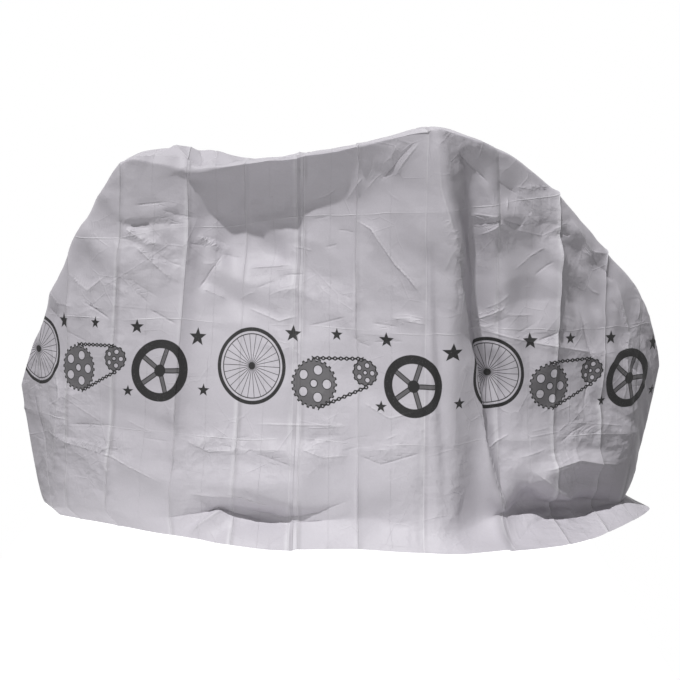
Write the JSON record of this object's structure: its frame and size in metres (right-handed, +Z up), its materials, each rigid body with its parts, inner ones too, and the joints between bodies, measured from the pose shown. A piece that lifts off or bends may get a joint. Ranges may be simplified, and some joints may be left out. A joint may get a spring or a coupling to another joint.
{
  "type": "bicycle cover",
  "caption": "Thin silver-grey film cover in the shape in which it drapes over a standing bicycle, hollow and open at the floor, with a printed band round it.",
  "frame": {"origin": "under the middle of the top, 0.945 m over the floor, in the plane of the bicycle that carries the cover", "axes": "+X towards the bicycle's front wheel, -Y the side that faces the viewer, +Z up; the hem lies on the floor at z = -0.945"},
  "size_m": [1.684, 0.8056, 1.0071],
  "materials": {
    "silver_film": "thin silver-grey plastic film with a soft gloss, packing creases in a grid, and a band of dark printed motifs"
  },
  "bodies": {
    "root": {"cover_cloth": "silver_film"}
  },
  "joints": []
}
